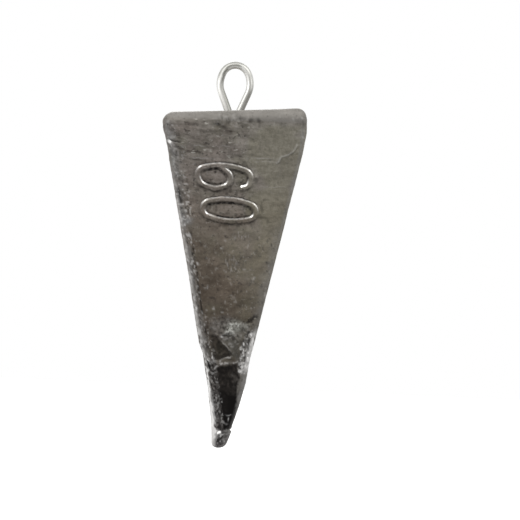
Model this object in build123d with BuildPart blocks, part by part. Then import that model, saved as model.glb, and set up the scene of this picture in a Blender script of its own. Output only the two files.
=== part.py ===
"""A cast pyramid fishing sinker: a tapered lead body with a bent wire eye cast into its pour face.

The sinker hangs from its eye. The origin is the centre of the eye's round top, +Z points up along
the body's axis, and the numbered front face looks along -Y. Sizes are in millimetres and degrees.
"""

import os
from math import atan2, cos, degrees, radians, sin, tan

from build123d import *

# Lead body: a four-sided taper, widest at the pour face where the metal went in
BODY_WIDTH = 18.9
BODY_DEPTH = 18.9
BODY_LENGTH = 40.0
LONG_EDGE_RADIUS = 0.95
# The pour face's own edges are rounded a little less than the long ones
POUR_EDGE_STEP = 0.1
# The pour face was never trimmed square: it climbs towards +X
POUR_SLANT = 4.0
# Flat left on each side between the rounded edges, where the taper ends
TIP_FLAT = 0.2
# The wire was not set in the middle of the mould: the body's axis is this far to the eye's right
BODY_OFFSET = 0.4

# Nub left at the bottom of the mould, a little to one side and leaning
NUB_TOP_DIAMETER = 2.3
NUB_END_DIAMETER = 1.7
NUB_LENGTH = 2.25
NUB_ROUNDING = 0.7
NUB_SHIFT = -0.12
NUB_LEAN = 10.0
# How far the nub reaches up into the taper, so that the two are one metal
NUB_ROOT = 0.4

# Raised numerals on the front face, round beads that read down the body
NUMERAL_HEIGHT = 6.6
NUMERAL_WIDTH = 2.75
NUMERAL_END_RADIUS = 1.0
NUMERAL_TILT = -2.6
# Middle of the first numeral: down the face from the pour face, and across from the axis
NUMERAL_DROP = 8.4
NUMERAL_OFFSET = -1.2
# From one numeral to the next: down the face, and across it
NUMERAL_PITCH = 4.25
NUMERAL_STEP = 0.8
BEAD_WIDTH = 0.8
BEAD_RISE = 0.32
# The 6: how far its hook comes down, where its bowl turns over, and the stroke that closes it
HOOK_LENGTH = 0.6
BOWL_DROP = 0.35
BOWL_RADIUS = 1.1
BOWL_TURN = 145.0
CLOSING_SHARE = 0.94

# Wire eye: centreline radii of the pear shape, and the legs that go down into the lead
WIRE_DIAMETER = 0.9
EYE_TOP_RADIUS = 1.7
EYE_SIDE_RADIUS = 3.0
EYE_SHOULDER = 30.0
EYE_RISE = 3.9
LEG_ANGLE = 22.5
LEG_SPACING = 1.1
LEG_BEND_RADIUS = 2.0
LEG_DEPTH = 9.0
TAIL_BEND_RADIUS = 1.6
TAIL_ANGLE = 50.0
TAIL_LENGTH = 2.0

# Levels and slopes that follow from the sizes above
pour_z = -EYE_RISE
taper_end_z = pour_z - BODY_LENGTH
tip_width = 2 * LONG_EDGE_RADIUS + TIP_FLAT
slope_x = (BODY_WIDTH - tip_width) / 2 / BODY_LENGTH
slope_y = (BODY_DEPTH - tip_width) / 2 / BODY_LENGTH
pour_rise = tan(radians(POUR_SLANT))
# The taper is drawn past the pour face by this much and then cut along the slant
spare = BODY_WIDTH * pour_rise + LONG_EDGE_RADIUS
front_view = Plane(origin=(BODY_OFFSET, 0, 0), x_dir=(1, 0, 0), z_dir=(0, -1, 0))

# The eye's outline, right half: a top arc, a flatter side arc, then a leg running inwards and down
with BuildPart() as wire_eye:
    with BuildLine(Plane.XZ) as eye_path:
        top_arc = JernArc((0, EYE_TOP_RADIUS), (1, 0), EYE_TOP_RADIUS, EYE_SHOULDER - 90)
        side_arc = JernArc(top_arc @ 1, top_arc % 1, EYE_SIDE_RADIUS, -EYE_SHOULDER - LEG_ANGLE)
        bend_width = LEG_BEND_RADIUS * (1 - cos(radians(LEG_ANGLE)))
        leg_run = ((side_arc @ 1).X - LEG_SPACING / 2 - bend_width) / sin(radians(LEG_ANGLE))
        slant_leg = Line(side_arc @ 1, (side_arc @ 1) + (side_arc % 1) * leg_run)
        leg_bend = JernArc(slant_leg @ 1, slant_leg % 1, LEG_BEND_RADIUS, LEG_ANGLE)
        straight_leg = Line(leg_bend @ 1, ((leg_bend @ 1).X, pour_z - LEG_DEPTH))
        tail_bend = JernArc(straight_leg @ 1, straight_leg % 1, TAIL_BEND_RADIUS, TAIL_ANGLE)
        tail = Line(tail_bend @ 1, (tail_bend @ 1) + (tail_bend % 1) * TAIL_LENGTH)
        mirror(about=Plane.YZ)
    wire_line = eye_path.wires()[0]
    with BuildSketch(Plane(origin=wire_line @ 0, z_dir=wire_line % 0)):
        Circle(WIRE_DIAMETER / 2)
    sweep(path=wire_line)

# One numeral's outline: two end arcs and two flatter side arcs, tangent where they meet
half_height = NUMERAL_HEIGHT / 2
half_width = NUMERAL_WIDTH / 2
end_y = half_height - NUMERAL_END_RADIUS
spread = half_width - NUMERAL_END_RADIUS
side_radius = (end_y**2 + half_width**2 - NUMERAL_END_RADIUS**2) / 2 / spread
side_x = side_radius - half_width
side_angle = degrees(atan2(end_y, side_x))
end_turn = 180 - 2 * side_angle

# A bead is the part of a round rod that stands out of the face
bead_radius = (BEAD_WIDTH**2 / 4 + BEAD_RISE**2) / 2 / BEAD_RISE
bead_sink = bead_radius - BEAD_RISE
front_face = Plane(
    origin=(BODY_OFFSET, -BODY_DEPTH / 2, pour_z),
    x_dir=(0, slope_y, -1),
    z_dir=(0, -1, -slope_y),
)


def numeral_plane(place):
    """Workplane of one numeral, at the depth of its beads: x is the reading direction."""
    down = NUMERAL_DROP + place * NUMERAL_PITCH
    across = NUMERAL_OFFSET + place * NUMERAL_STEP
    return Plane(front_face * Location((down, across, -bead_sink), (0, 0, NUMERAL_TILT)))


def across_path(path):
    """Workplane square to a path where it starts."""
    return Plane(origin=path @ 0, z_dir=path % 0)


with BuildPart() as lead_body:
    # Seen from the front and from the side the body is the same kind of taper
    with BuildSketch(front_view):
        with BuildLine():
            wide = BODY_WIDTH / 2 + spare * slope_x
            low = (tip_width / 2, taper_end_z)
            high = (wide, pour_z + spare)
            Polyline((-low[0], low[1]), low, high, (-high[0], high[1]), close=True)
        make_face()
    extrude(amount=BODY_DEPTH, both=True)
    with BuildSketch(Plane.YZ):
        with BuildLine():
            deep = BODY_DEPTH / 2 + spare * slope_y
            low = (tip_width / 2, taper_end_z)
            high = (deep, pour_z + spare)
            Polyline((-low[0], low[1]), low, high, (-high[0], high[1]), close=True)
        make_face()
    extrude(amount=BODY_WIDTH, both=True, mode=Mode.INTERSECT)
    pour_plane = Plane(origin=(BODY_OFFSET, 0, pour_z), z_dir=(-pour_rise, 0, 1))
    split(bisect_by=pour_plane, keep=Keep.BOTTOM)
    long_edges = lead_body.edges().filter_by(lambda e: e.bounding_box().size.Z > BODY_LENGTH / 2)
    fillet(long_edges, LONG_EDGE_RADIUS)
    pour_face = lead_body.faces().sort_by(Axis.Z)[-1]
    fillet(pour_face.edges(), LONG_EDGE_RADIUS - POUR_EDGE_STEP)

    # Nub
    nub_x = BODY_OFFSET + NUB_SHIFT
    with Locations(Location((nub_x, 0, taper_end_z + NUB_ROOT), (0, NUB_LEAN, 0))):
        Cone(
            NUB_END_DIAMETER / 2,
            NUB_TOP_DIAMETER / 2,
            NUB_LENGTH + NUB_ROOT,
            align=(Align.CENTER, Align.CENTER, Align.MAX),
        )
    fillet(lead_body.edges().sort_by(Axis.Z)[0], NUB_ROUNDING)

    # First numeral, a 6: hook, spine and bowl in one bead, then the stroke that closes the bowl
    with BuildLine(numeral_plane(0)) as six_path:
        hook_turn = degrees(HOOK_LENGTH / side_radius)
        hook = CenterArc((-side_x, 0), side_radius, side_angle - hook_turn, hook_turn)
        six_top = JernArc(hook @ 1, hook % 1, NUMERAL_END_RADIUS, end_turn)
        spine = JernArc(six_top @ 1, six_top % 1, side_radius, 2 * side_angle)
        six_foot = JernArc(spine @ 1, spine % 1, NUMERAL_END_RADIUS, end_turn)
        flank_turn = side_angle - degrees(BOWL_DROP / side_radius)
        flank = JernArc(six_foot @ 1, six_foot % 1, side_radius, flank_turn)
        bowl = JernArc(flank @ 1, flank % 1, BOWL_RADIUS, BOWL_TURN)
    with BuildSketch(across_path(hook)):
        Circle(bead_radius)
    sweep(path=six_path.wires()[0])
    with Locations(hook @ 0):
        Sphere(bead_radius)
    six_plane = numeral_plane(0)
    with BuildLine(six_plane) as closing_path:
        to_spine = half_width + six_plane.to_local_coords(bowl @ 1).X
        closing_run = -to_spine / (bowl % 1).dot(six_plane.x_dir)
        closing = Line(bowl @ 1, (bowl @ 1) + (bowl % 1) * closing_run)
    with BuildSketch(across_path(closing)):
        Circle(bead_radius * CLOSING_SHARE)
    sweep(path=closing_path.wires()[0])

    # Second numeral, a 0: the whole outline in one bead
    with BuildLine(numeral_plane(1)) as nought_path:
        nought_right = CenterArc((-side_x, 0), side_radius, -side_angle, 2 * side_angle)
        nought_top = JernArc(nought_right @ 1, nought_right % 1, NUMERAL_END_RADIUS, end_turn)
        nought_left = JernArc(nought_top @ 1, nought_top % 1, side_radius, 2 * side_angle)
        nought_foot = JernArc(nought_left @ 1, nought_left % 1, NUMERAL_END_RADIUS, end_turn)
    with BuildSketch(across_path(nought_right)):
        Circle(bead_radius)
    sweep(path=nought_path.wires()[0])

    # The lead froze round the wire, so its cavity is the wire's own shape
    add(wire_eye.part, mode=Mode.SUBTRACT)

wire_eye.part.label = "wire_eye"
lead_body.part.label = "lead_body"
os.makedirs("parts", exist_ok=True)
export_step(wire_eye.part, "parts/wire_eye.step")
export_step(lead_body.part, "parts/lead_body.step")

for piece in (lead_body.part, wire_eye.part):
    size = piece.bounding_box().size
    print(f"{piece.label}: {size.X:.2f} x {size.Y:.2f} x {size.Z:.2f} mm, {piece.volume:.1f} mm3")
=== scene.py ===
# %% [markdown]
# This lesson dresses a cast pyramid sinker: a four-sided lead weight with a number raised on its
# front and a bright wire eye cast into its top. The measured solids come from the CAD frame, in
# metres. The eye's centre is the origin, +Z points up, and the numbered face looks along -Y. The
# casting and its marks are worked out in millimetres, and MM turns them into metres.

# %% Load the frame
import math

import bpy
import numpy as np
from mathutils import Matrix, Vector


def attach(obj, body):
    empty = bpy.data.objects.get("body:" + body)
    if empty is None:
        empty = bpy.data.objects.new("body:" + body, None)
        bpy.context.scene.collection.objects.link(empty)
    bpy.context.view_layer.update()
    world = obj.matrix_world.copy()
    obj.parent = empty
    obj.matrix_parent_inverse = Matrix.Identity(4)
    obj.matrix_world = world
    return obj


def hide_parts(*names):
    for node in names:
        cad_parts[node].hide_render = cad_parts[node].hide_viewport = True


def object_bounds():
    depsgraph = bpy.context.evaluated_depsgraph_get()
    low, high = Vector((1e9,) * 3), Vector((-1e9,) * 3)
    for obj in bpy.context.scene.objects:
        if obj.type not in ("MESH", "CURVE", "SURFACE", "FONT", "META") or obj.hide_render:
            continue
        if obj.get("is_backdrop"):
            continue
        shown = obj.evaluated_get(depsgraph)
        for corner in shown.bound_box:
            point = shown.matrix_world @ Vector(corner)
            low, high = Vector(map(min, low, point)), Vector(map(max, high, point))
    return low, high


MM = 0.001

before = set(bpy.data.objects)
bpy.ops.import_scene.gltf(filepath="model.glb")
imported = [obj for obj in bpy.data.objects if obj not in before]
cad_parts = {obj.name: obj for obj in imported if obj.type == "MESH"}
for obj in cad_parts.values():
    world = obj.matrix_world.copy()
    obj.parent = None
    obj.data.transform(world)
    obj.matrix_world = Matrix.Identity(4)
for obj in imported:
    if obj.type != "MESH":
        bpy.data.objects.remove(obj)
cad_box = [list(corner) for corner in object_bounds()]
print("CAD box", cad_box)

# %% [markdown]
# The camera comes first, because everything after it is judged through it. The sinker is seen
# square to its numbered face, from just high enough that the flat top shows as one line, and it
# leans a little to the right in the picture. A long lens keeps the sides from converging. The lean
# could be a turn of the part, but as a roll of the camera it leaves the part upright in its frame.

# %% Camera
VIEW_DISTANCE = 600 * MM
PICTURE_WIDTH = 65.0 * MM
SENSOR_WIDTH = 36
NEAREST, FARTHEST = 0.01, 20
AIM = Vector((4.06, 0, -22.47)) * MM
ROLL = math.radians(2.5)
RAISE = math.radians(1.8)


def in_scene(name, data):
    """A new object that holds some data, linked into the scene."""
    thing = bpy.data.objects.new(name, data)
    bpy.context.scene.collection.objects.link(thing)
    return thing


camera = in_scene("camera", bpy.data.cameras.new("camera"))
camera.data.sensor_width = SENSOR_WIDTH
camera.data.lens = SENSOR_WIDTH * VIEW_DISTANCE / PICTURE_WIDTH
camera.data.clip_start = NEAREST
camera.data.clip_end = FARTHEST
level_right = Vector((1, 0, 0))
level_up = Vector((0, math.sin(RAISE), math.cos(RAISE)))
right = level_right * math.cos(ROLL) + level_up * math.sin(ROLL)
up = level_up * math.cos(ROLL) - level_right * math.sin(ROLL)
back = right.cross(up)
turned = Matrix((right, up, back)).transposed().to_4x4()
camera.matrix_world = Matrix.Translation(AIM + back * VIEW_DISTANCE) @ turned
bpy.context.scene.camera = camera
print("lens", round(camera.data.lens, 1), "mm")

# %% [markdown]
# The studio is a pale floor under the hanging sinker and a white surround. A bright surround alone
# would give that white, but it would also wash out the lead. So what the camera and the polished
# metal see of it is plain white, while the light it sheds is much lower, and the lamps still shape
# the lead. The floor does the same: a white glow for the camera, added to ordinary paint that takes
# the shadow.

# %% Surround
SURROUND_LIGHT = 0.2
WHITE = (1, 1, 1, 1)


def add_node(tree, kind, **settings):
    """A node with some of its settings or input values filled in."""
    node = tree.nodes.new(kind)
    for name, value in settings.items():
        if hasattr(node, name):
            setattr(node, name, value)
        else:
            node.inputs[name.replace("_", " ").title()].default_value = value
    return node


def feed(socket, source):
    """Set a socket to a number or a colour, or link another node's output to it."""
    if isinstance(source, bpy.types.NodeSocket):
        socket.id_data.links.new(source, socket)
    else:
        socket.default_value = source


def seen_directly(tree):
    """1 for rays from the camera, from reflections and through glass, 0 for rays that only light."""
    path = add_node(tree, "ShaderNodeLightPath")
    total = path.outputs["Is Camera Ray"]
    for kind in ("Is Glossy Ray", "Is Transmission Ray"):
        either = add_node(tree, "ShaderNodeMath", operation="MAXIMUM")
        feed(either.inputs[0], total)
        feed(either.inputs[1], path.outputs[kind])
        total = either.outputs[0]
    return total


world = bpy.data.worlds.new("studio")
bpy.context.scene.world = world
world.use_nodes = True
air = world.node_tree
level = add_node(air, "ShaderNodeMapRange", to_min=SURROUND_LIGHT, to_max=1.0)
feed(level.inputs["Value"], seen_directly(air))
glow = air.nodes["Background"]
feed(glow.inputs["Color"], WHITE)
feed(glow.inputs["Strength"], level.outputs["Result"])
bpy.context.scene.view_settings.view_transform = "Standard"
print("surround sheds", SURROUND_LIGHT)

# %% Floor
FLOOR_GAP = 13 * MM
FLOOR_HALF = 0.35
FLOOR_GLOW = 0.75
FLOOR_PAINT = {"Base Color": (0.32, 0.32, 0.32, 1), "Roughness": 0.9, "Emission Color": WHITE}


def new_finish(piece, name, plain):
    """A new material on a piece, with plain values on its shader: its node tree and that shader."""
    finish = bpy.data.materials.new(name)
    finish.use_nodes = True
    piece.data.materials.append(finish)
    shader = finish.node_tree.nodes["Principled BSDF"]
    for socket, value in plain.items():
        feed(shader.inputs[socket], value)
    return finish.node_tree, shader


def scaled(value, factor):
    """A value times a factor, which is a number or another value, kept from 0 to 1."""
    product = add_node(value.id_data, "ShaderNodeMath", operation="MULTIPLY", use_clamp=True)
    feed(product.inputs[0], value)
    feed(product.inputs[1], factor)
    return product.outputs[0]


floor_z = cad_box[0][2] - FLOOR_GAP
square = ((-1, -1), (1, -1), (1, 1), (-1, 1))
floor_mesh = bpy.data.meshes.new("floor")
floor_mesh.from_pydata([(x * FLOOR_HALF, y * FLOOR_HALF, floor_z) for x, y in square], [], [(0, 1, 2, 3)])
floor = in_scene("floor", floor_mesh)
floor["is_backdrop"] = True
tree, coat = new_finish(floor, "floor_paint", FLOOR_PAINT)
feed(coat.inputs["Emission Strength"], scaled(seen_directly(tree), FLOOR_GLOW))
print("floor", round((cad_box[0][2] - floor_z) / MM, 1), "mm under the tip")

# %% [markdown]
# Two equal soft panels hang in front, high on the left and high on the right. A sun lamp would be
# simpler, but a mirror shows it as a point. The lead is dull, so the panels only shade it from
# above, but the raised strokes are rubbed, and their flanks mirror the panels as thin bright lines.
# A weaker panel behind keeps the back open.

# %% Lamps
LAMP_AIM = Vector((0, 0, -22)) * MM
# Each lamp is a name, a place and a size in metres, and a power
LAMPS = (
    ("left_lamp", (-0.42, -0.3, 0.42), 0.35, 5.0),
    ("right_lamp", (0.42, -0.3, 0.42), 0.35, 5.0),
    ("back_lamp", (0.0, 0.55, 0.3), 0.4, 2.5),
)

for name, place, size, power in LAMPS:
    lamp = bpy.data.lights.new(name, "AREA")
    lamp.shape = "SQUARE"
    lamp.size = size
    lamp.energy = power
    holder = in_scene(name, lamp)
    holder.location = place
    holder.rotation_euler = (LAMP_AIM - Vector(place)).to_track_quat("-Z", "Y").to_euler()
print("lamps", [lamp.name for lamp in bpy.data.lights])

# %% [markdown]
# The casting's sizes are the CAD's own, in millimetres. The lead is a straight taper of square
# section: at a depth below the pour face, half its width is known, and everything else follows.
# Its axis is a little to the right of the eye. Places on it are measured from that axis, and the
# finished net is moved over at the end.

# %% Sizes of the casting
AXIS_X = 0.4
POUR_Z = -3.9
HALF_TOP = 9.45
SLOPE = 0.21
POUR_SLANT = math.tan(math.radians(4.0))

face_angle = math.atan(SLOPE)
face_cos = math.cos(face_angle)
print("taper", round(2 * math.degrees(face_angle), 1), "degrees between opposite sides")

# %% [markdown]
# Cast lead is never quite flat: the skin wrinkles as it freezes, and the soft metal is dented
# later. Blender's displacement textures could do that, but here the same heights shape the mesh
# and tell the finish where to change, so they are worked out as numbers. A lattice of random
# numbers, blended between its points, gives heights that change softly from place to place, and a
# stretched lattice gives ripples. A few soft steps and humps go with it.

# %% Soft random heights
LATTICE = 32


def cloud(points, cell, seed):
    """Random heights, about -1 to 1, that change over one cell (a size in mm, or one for each axis)."""
    lattice = np.random.default_rng(seed).uniform(-1, 1, (LATTICE, LATTICE, LATTICE))
    place = points / np.asarray(cell, float)
    base = np.floor(place).astype(int)
    share = place - base
    share = share * share * (3 - 2 * share)
    total = np.zeros(points.shape[:-1])
    for corner in np.ndindex(2, 2, 2):
        weight = np.prod(np.where(corner, share, 1 - share), axis=-1)
        index = (base + corner) % LATTICE
        total += weight * lattice[index[..., 0], index[..., 1], index[..., 2]]
    return total


sample = cloud(np.random.default_rng(1).uniform(0, 50, (999, 3)), 2.0, 1)
print("heights from", sample.min().round(2), "to", sample.max().round(2))


# %% Soft steps and humps
def step_up(values, low, high):
    """0 below low, 1 above high, and a smooth rise between."""
    share = np.clip((values - low) / (high - low), 0, 1)
    return share * share * (3 - 2 * share)


def step_down(values, low, high):
    """1 below low, 0 above high, and a smooth fall between."""
    return 1 - step_up(values, low, high)


def between(values, rise_from, rise_to, fall_from, fall_to):
    """1 in a range of values, with a smooth rise before it and a smooth fall after it."""
    return step_up(values, rise_from, rise_to) * step_down(values, fall_from, fall_to)


def bell(values, middle, width, power=2):
    """A hump of height 1 at the middle, flatter on top and steeper outside with a higher power."""
    return np.exp(-(((values - middle) / width) ** power))


def at_least(share, shape):
    """A shape from 0 to 1, lifted so that it starts from a share."""
    return share + (1 - share) * shape


def level_at(depths, table):
    """A value that changes with depth, from a table of depths and values."""
    return np.interp(depths, *zip(*table))


print("hump at its width", round(float(bell(1.0, 0.0, 1.0)), 2))

# %% [markdown]
# The skin of the casting is one closed net of points. It is laid ring by ring from the middle of
# the pour face, over the rounded top edge, down the four sides and round the nub at the tip. A
# subdivided block would do too, but a net has its points where the detail is: most of them on the
# numbered face, and most of the rings at the numerals and near the tip.

# %% One ring of the net
FRONT_STEPS = 150
SIDE_STEPS = 34
CLOSER = 0.32
CORNER_POINTS = 25
SHARPEST = 0.999


def steps_of(points):
    """The length of each step along rows of points."""
    return np.linalg.norm(np.diff(points, axis=0), axis=-1)


def added_up(lengths):
    """How far along each point is, from 0."""
    return np.concatenate(([0], np.cumsum(lengths)))


def ring(half, radii):
    """A rounded square, its steps closer mid-front.

    The radii are for the corners front left, front right, back right and back left.
    """
    corners = []
    middle = CORNER_POINTS // 2
    for radius, turn in zip(radii, (180, 270, 0, 90)):
        radius = min(radius, half * SHARPEST)
        angles = np.radians(turn + np.linspace(0, 90, CORNER_POINTS))
        spokes = np.column_stack((np.cos(angles), np.sin(angles)))
        corners.append(math.sqrt(2) * (half - radius) * spokes[middle] + radius * spokes)
    loop = np.concatenate((corners[0][middle:], *corners[1:], corners[0][: middle + 1]))
    run = added_up(steps_of(loop))
    diagonals = run[::CORNER_POINTS]
    front_share = np.arange(FRONT_STEPS) / FRONT_STEPS
    front_share = front_share + CLOSER * np.sin(2 * np.pi * front_share) / (2 * np.pi)
    shares = [front_share] + 3 * [np.arange(SIDE_STEPS) / SIDE_STEPS]
    sides = zip(diagonals[:-1], diagonals[1:], shares)
    stops = np.concatenate([start + (end - start) * share for start, end, share in sides])
    return np.column_stack([np.interp(stops, run, loop[:, axis]) for axis in (0, 1)])


print("points in a ring", len(ring(5, (1, 1, 1, 1))))

# %% Rings down the casting
LONG_EDGE = np.array((1.35, 0.75, 0.95, 0.95))
TOP_CORNER = 1.35
TOP_EDGE, TOP_EDGE_RINGS = 1.2, 10
LEAST_CORNER = 0.2
ROUNDEST = 0.86
NECK, NUB_WIDEST, NUB_ROUND, NUB_END = 39.6, 40.2, 41.5, 42.3
NUB_HALF, NUB_TAPER, NUB_STEP = 1.27, 0.2, 0.09
POUR_RINGS = (0.18, 0.36, 0.55, 0.75, 0.95, 1.2, 1.5, 1.9, 2.4, 3.1, 4.0, 5.0, 6.0, 7.0, 7.6)
# Runs of rings: the first depth, the depth that ends the run, and the step
BODY_RINGS = ((1.6, 6.3, 0.12), (6.3, 14.9, 0.0745), (15.0, 25.5, 0.195), (25.6, 39.55, 0.109))
SWELL = ((31, 0.0), (33.5, 0.12), (36.5, 0.17), (39.6, 0.12))

# Each ring is a depth below the pour face, half the width there, and the corner radii
rings = []
edge_middle = HALF_TOP - SLOPE * TOP_EDGE - TOP_EDGE / face_cos
for half in POUR_RINGS:
    rings.append((0.0, half, LEAST_CORNER * half / edge_middle))
for angle in np.radians(np.linspace(90, -math.degrees(face_angle), TOP_EDGE_RINGS)):
    down = TOP_EDGE - TOP_EDGE * math.sin(angle)
    half = edge_middle + TOP_EDGE * math.cos(angle)
    inset = HALF_TOP - SLOPE * down - half
    rings.append((down, half, max(TOP_CORNER - inset, LEAST_CORNER)))
for down in np.concatenate([np.arange(*run) for run in BODY_RINGS]):
    half = HALF_TOP - SLOPE * down + level_at(down, SWELL)
    corner = TOP_CORNER + (LONG_EDGE - TOP_CORNER) * step_up(down, 1.4, 6.0)
    rings.append((down, half, np.minimum(corner, ROUNDEST * half)))
nub_end = NUB_ROUND + (NUB_END - NUB_ROUND) * np.sin(np.radians(np.arange(10, 90, 10)))
for down in np.concatenate((np.arange(NECK, NUB_ROUND, NUB_STEP), nub_end)):
    rounding = max(0, down - NUB_ROUND) / (NUB_END - NUB_ROUND)
    half = (NUB_HALF - NUB_TAPER * max(0, down - NUB_WIDEST)) * math.sqrt(1 - rounding**3)
    rings.append((down, half, half * min(1, ROUNDEST + (down - NECK))))

ring_depth = np.array([entry[0] for entry in rings])
outline = np.array([ring(half, np.broadcast_to(radii, 4)) for _, half, radii in rings])
print("net", outline.shape[0], "rings of", outline.shape[1])

# %% [markdown]
# The mould was not filled level, so the pour face climbs to the right. The rings near it are
# tilted, less and less with depth, and widened where the tilt lifts them, so the sides stay flat.
# The right side is rubbed away near the top, and the left edge is knocked in lower down. The soft
# tip is bent a little to one side, and the nub the other way. A lattice modifier could push the
# net about like this, but tables by depth say exactly how far each place moves.

# %% Slant of the top and bend of the tip
# Each pair is a depth and a distance
BEND = ((0, 0.0), (31, 0.0), (34, 0.08), (36, -0.01), (38, -0.1), (39.4, -0.22), (40.2, -0.25),
        (41.0, -0.36), (42.3, -0.6))
RUBBED = ((-0.7, 0.72), (0.35, 0.7), (0.85, 0.57), (2.35, 0.21), (4.6, 0.08), (8.0, 0.0))
KNOCKED = ((19, 0.0), (24, 0.09), (29.2, 0.13), (30.5, -0.14), (32, -0.08), (33.5, -0.11), (36.5, -0.05),
           (38.5, 0.01), (39.5, 0.08), (40.2, 0.0))

widest = np.abs(outline).max(axis=(1, 2))[:, None]
lifted = outline[..., 0] * POUR_SLANT * step_down(ring_depth, 1.3, 5.8)[:, None]
widened = 1 + SLOPE * lifted / widest
widened[ring_depth <= 0] = 1
skin = np.empty(outline.shape[:2] + (3,))
skin[..., :2] = outline * widened[..., None]
skin[..., 2] = POUR_Z - ring_depth[:, None] + lifted
skin[..., 0] += level_at(ring_depth, BEND)[:, None]

depth = POUR_Z - skin[..., 2]
skin[..., 0] -= level_at(depth, RUBBED) * step_up(skin[..., 0], 4.0, 9.0)
skin[..., 0] -= level_at(depth, KNOCKED) * step_up(-skin[..., 0] / widest, 0.6, 0.95)
downward = np.gradient(skin, axis=0)
sideways = (np.roll(skin, -1, axis=1) - np.roll(skin, 1, axis=1)) / 2
normal = np.cross(downward, sideways)
normal /= np.linalg.norm(normal, axis=-1, keepdims=True)
print("skin from", skin.min(axis=(0, 1)).round(2), "to", skin.max(axis=(0, 1)).round(2))

# %% [markdown]
# The front carries many small marks. They could be painted by hand, but a mark that is written
# down as a place can be moved later. Each is a line, a patch or a spot, given by its place across
# the face and its depth below the pour face. Two measures are enough: how far a point is from a
# line, and whether it is inside an outline. A little random shift makes every border ragged.

# %% Distances on the face
FAR = 99.0

face_x = skin[..., 0]
face = np.stack((face_x, depth), axis=-1)
front = step_up(-normal[..., 1], 0.25, 0.7) * (ring_depth > 0)[:, None]


def way_from(points, line):
    """The shortest way to each point from a line of straight pieces."""
    line = np.asarray(line, float)
    shortest = np.full(points.shape, FAR)
    for start, end in zip(line[:-1], line[1:]):
        along = end - start
        share = np.clip((points - start) @ along / (along @ along), 0, 1)
        way = points - start - share[..., None] * along
        closer = (way**2).sum(axis=-1) < (shortest**2).sum(axis=-1)
        shortest[closer] = way[closer]
    return shortest


def line_distance(points, line):
    """How far each point is from a line of straight pieces."""
    return np.linalg.norm(way_from(points, line), axis=-1)


def patch(points, border, soft):
    """1 inside a border and 0 outside, fading over a soft edge."""
    loop = np.array(list(border) + list(border[:1]), float)
    inside = np.zeros(points.shape[:-1], bool)
    for start, end in zip(loop[:-1], loop[1:]):
        beside = (start[1] > points[..., 1]) != (end[1] > points[..., 1])
        share = (points[..., 1] - start[1]) / (end[1] - start[1] or 1e-9)
        inside ^= beside & (points[..., 0] < start[0] + share * (end[0] - start[0]))
    gap = line_distance(points, loop)
    return np.clip(0.5 + np.where(inside, gap, -gap) / soft, 0, 1)


print("front points", int((front > 0.5).sum()))

# %% Ragged marks on the face
# Each shift is a distance, a cell size, and a seed for each direction
RAGGED = ((0.1, 0.5, 13, 14), (0.05, 0.2, 15, 16))


def lumps(cell, seed):
    """Soft random heights at every point of the skin."""
    return cloud(skin, cell, seed)


ragged = face
for distance, cell, seed_across, seed_down in RAGGED:
    ragged = ragged + distance * np.stack((lumps(cell, seed_across), lumps(cell, seed_down)), axis=-1)


def streak(line, width):
    """1 along a line on the front, falling smoothly to 0 at a distance of about its width."""
    return bell(line_distance(ragged, line), 0, width) * front


def area(border, soft=0.25):
    """1 inside a border on the front, with a ragged edge."""
    return patch(ragged, border, soft) * front


def spot(place, wide, high):
    """1 at a place on the front, falling smoothly to 0 over a width and a height."""
    away = (ragged - np.array(place)) / (wide, high)
    return np.exp(-(away**2).sum(axis=-1)) * front


print("borders shift by up to", np.abs(ragged - face).max().round(2), "mm")

# %% [markdown]
# The weight number is raised on the face in beads with a rubbed, nearly flat top. A text object
# would bring a typeface's numerals, so each is drawn as a path of arcs in the CAD's sizes. On the
# casting the six's lower stroke and its hook hang a little lower, and its left end is worn down,
# so the path and the bead follow that. A bead's height at a point comes from the distance to the
# path, so the beads run into each other like poured metal.

# %% Paths of arcs
TURN_STEP = 10


def arc(radius, turn):
    """A move along an arc: its length, and its turn in degrees, left being positive."""
    return radius * math.radians(abs(turn)), turn


def walk(start, heading, moves, step):
    """The points met along a path of moves, and the heading at its end."""
    points = [np.array(start, float)]
    heading = math.radians(heading)
    for length, turn in moves:
        count = max(1, math.ceil(length / step), math.ceil(abs(turn) / TURN_STEP))
        for _ in range(count):
            heading += math.radians(turn) / count / 2
            stride = length / count * np.array((math.cos(heading), math.sin(heading)))
            points.append(points[-1] + stride)
            heading += math.radians(turn) / count / 2
    return np.array(points), math.degrees(heading)


print("a quarter turn ends at", walk((0, 0), 0, [arc(1, 90)], 0.1)[0][-1].round(2))

# %% Numeral strokes
HALF_HEIGHT, HALF_WIDTH, END_RADIUS = 3.3, 1.375, 1.0
HOOK_RUN, BOWL_LEAD, BOWL_RADIUS, BOWL_TURN = 0.25, 0.35, 1.1, 145
STROKE_STEP, CLOSING_STEP = 0.12, 0.3
NUMERAL_TILT = math.radians(-2.6)
SIX_PLACE, NOUGHT_PLACE = (8.4, -1.2), (12.65, -0.4)
STROKE_HANGS, HOOK_HANGS = 0.31, 0.25

end_y = HALF_HEIGHT - END_RADIUS
side_radius = (end_y**2 + HALF_WIDTH**2 - END_RADIUS**2) / 2 / (HALF_WIDTH - END_RADIUS)
side_x = side_radius - HALF_WIDTH
side_angle = math.degrees(math.atan2(end_y, side_x))
side, end = arc(side_radius, 2 * side_angle), arc(END_RADIUS, 180 - 2 * side_angle)


def on_side(angle):
    """A point on the right side arc of a numeral."""
    angle = math.radians(angle)
    return side_radius * math.cos(angle) - side_x, side_radius * math.sin(angle)


def on_face(path, place):
    """A numeral's path as places across the face and depths below the pour face."""
    turn = np.array(((math.cos(NUMERAL_TILT), math.sin(NUMERAL_TILT)),
                     (-math.sin(NUMERAL_TILT), math.cos(NUMERAL_TILT))))
    down, across = (path @ turn + np.array(place)).T
    return np.column_stack((across, down * face_cos))


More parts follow.
